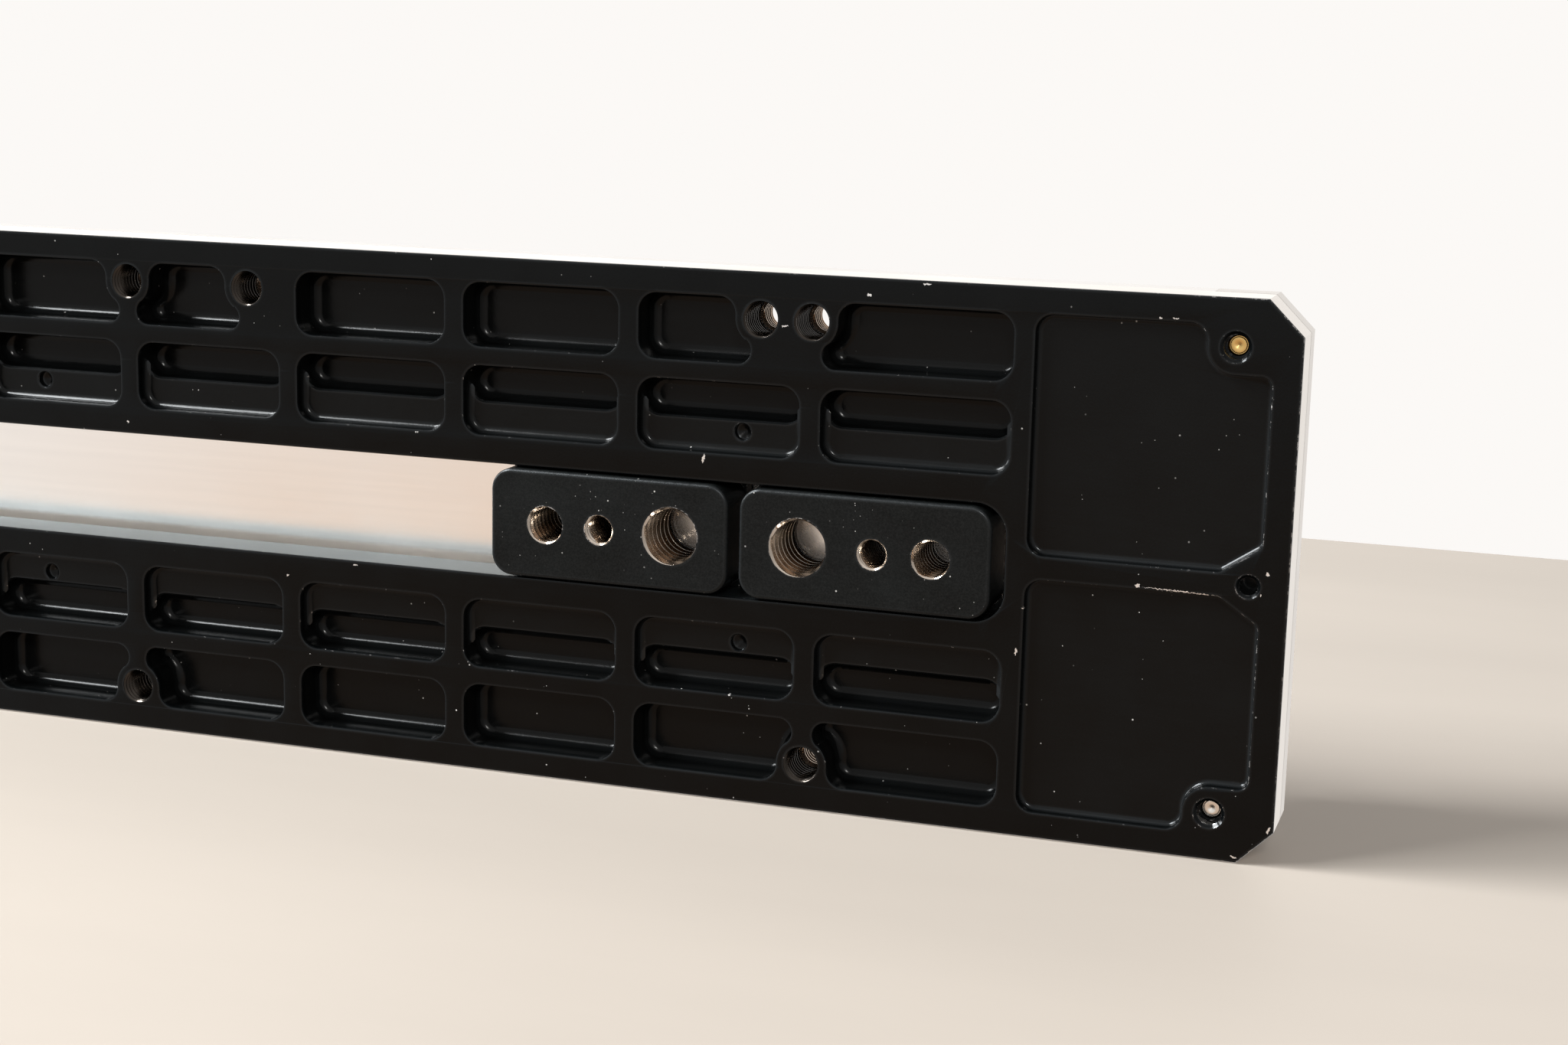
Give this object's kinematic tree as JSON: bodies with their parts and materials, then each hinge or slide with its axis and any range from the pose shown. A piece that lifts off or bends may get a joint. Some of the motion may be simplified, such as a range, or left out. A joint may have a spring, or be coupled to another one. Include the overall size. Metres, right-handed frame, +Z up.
{
  "type": "camera slider",
  "caption": "Straight camera slider: pocketed black base plate with a T slot and two sliding mounting blocks, round rails and a roller carriage with brake and camera screw.",
  "frame": {"origin": "middle of the T slot's mouth, level with the underside of the base plate, midway along the track", "axes": "+X along the track towards the end where the two mounting blocks are parked; +Z up, from the underside to the camera; the brake knob is on the -Y side"},
  "size_m": [0.596, 0.096, 0.062],
  "materials": {
    "base_black": "black anodised, semi gloss",
    "block_black": "black anodised, fine matte",
    "silver": "clear anodised, brushed lengthwise",
    "rail_steel": "ground and polished",
    "carriage_black": "black anodised, bead blasted",
    "bearing_steel": "ground steel",
    "screw_steel": "nickel plated",
    "screw_black": "black oxide",
    "brass": "bare brass",
    "rubber": "matte",
    "knob_plastic": "moulded, fine texture",
    "nylon": "natural nylon",
    "vial": "tinted acrylic vial"
  },
  "bodies": {
    "track": {"base_plate": "base_black", "track_plate": "silver", "end_cap_left": "silver", "end_cap_right": "silver", "rail_front": "rail_steel", "rail_rear": "rail_steel", "rail_screws": "screw_steel", "plate_screws": "screw_black", "corner_screws": "screw_steel", "corner_screw_brass": "brass", "bumpers_left": "rubber", "bumpers_right": "rubber"},
    "block_right": {"mount_block_right": "block_black"},
    "block_left": {"mount_block_left": "block_black"},
    "carriage": {"carriage_plate": "carriage_black", "cheek_front": "carriage_black", "cheek_rear": "carriage_black", "cheek_screws": "screw_black", "roller_inner_rings": "bearing_steel", "roller_spacers": "screw_steel", "eccentric_spacers": "brass", "axle_bolts": "screw_black", "axle_nuts": "screw_steel", "standoffs": "silver", "standoff_screws": "screw_black", "camera_plate": "carriage_black", "camera_plate_screws": "screw_black", "rubber_pad": "rubber", "level_holder": "carriage_black", "level_vial": "vial", "brake_bush": "brass"},
    "wheel_front_left": {"roller_front_left": "bearing_steel"},
    "wheel_front_right": {"roller_front_right": "bearing_steel"},
    "wheel_rear_left": {"roller_rear_left": "bearing_steel"},
    "wheel_rear_right": {"roller_rear_right": "bearing_steel"},
    "camera_wheel": {"thumb_wheel": "carriage_black", "camera_screw": "screw_steel"},
    "pad": {"brake_pad": "nylon"},
    "knob": {"brake_screw": "screw_steel", "brake_knob": "knob_plastic"}
  },
  "joints": [
    {"name": "carriage_slide", "type": "slide", "parent": "track", "child": "carriage", "axis": [1, 0, 0], "range_m": [-0.224, 0.224]},
    {"name": "block_right_slide", "type": "slide", "parent": "track", "child": "block_right", "axis": [1, 0, 0], "range_m": [-0.217, 0]},
    {"name": "block_left_slide", "type": "slide", "parent": "block_right", "child": "block_left", "axis": [1, 0, 0], "range_m": [-0.217, 0]},
    {"name": "roller_front_left_spin", "type": "hinge", "parent": "carriage", "child": "wheel_front_left", "pos_m": [-0.034, -0.01035, 0.0222], "axis": [0, 0, 1], "range_deg": [-1940, 1940]},
    {"name": "roller_front_right_spin", "type": "hinge", "parent": "carriage", "child": "wheel_front_right", "pos_m": [0.034, -0.01035, 0.0222], "axis": [0, 0, 1], "range_deg": [-1940, 1940]},
    {"name": "roller_rear_left_spin", "type": "hinge", "parent": "carriage", "child": "wheel_rear_left", "pos_m": [-0.034, 0.01035, 0.0222], "axis": [0, 0, 1], "range_deg": [-1940, 1940]},
    {"name": "roller_rear_right_spin", "type": "hinge", "parent": "carriage", "child": "wheel_rear_right", "pos_m": [0.034, 0.01035, 0.0222], "axis": [0, 0, 1], "range_deg": [-1940, 1940]},
    {"name": "camera_screw_turn", "type": "hinge", "parent": "carriage", "child": "camera_wheel", "pos_m": [0, 0, 0.041], "axis": [0, 0, 1], "continuous": true},
    {"name": "brake_pad_slide", "type": "slide", "parent": "carriage", "child": "pad", "axis": [0, 1, 0], "range_m": [-0.001, 0.00095]},
    {"name": "brake_knob_turn", "type": "hinge", "parent": "pad", "child": "knob", "pos_m": [0, -0.049, 0.0222], "axis": [0, 1, 0], "range_deg": [-360, 342]}
  ],
  "couplings": [
    {"joint": "roller_front_left_spin", "follows": "carriage_slide", "rad_per_m": -150.38},
    {"joint": "roller_front_right_spin", "follows": "carriage_slide", "rad_per_m": -150.38},
    {"joint": "roller_rear_left_spin", "follows": "carriage_slide", "rad_per_m": 150.38},
    {"joint": "roller_rear_right_spin", "follows": "carriage_slide", "rad_per_m": 150.38},
    {"joint": "brake_pad_slide", "follows": "brake_knob_turn", "m_per_rad": 0.00015915}
  ]
}
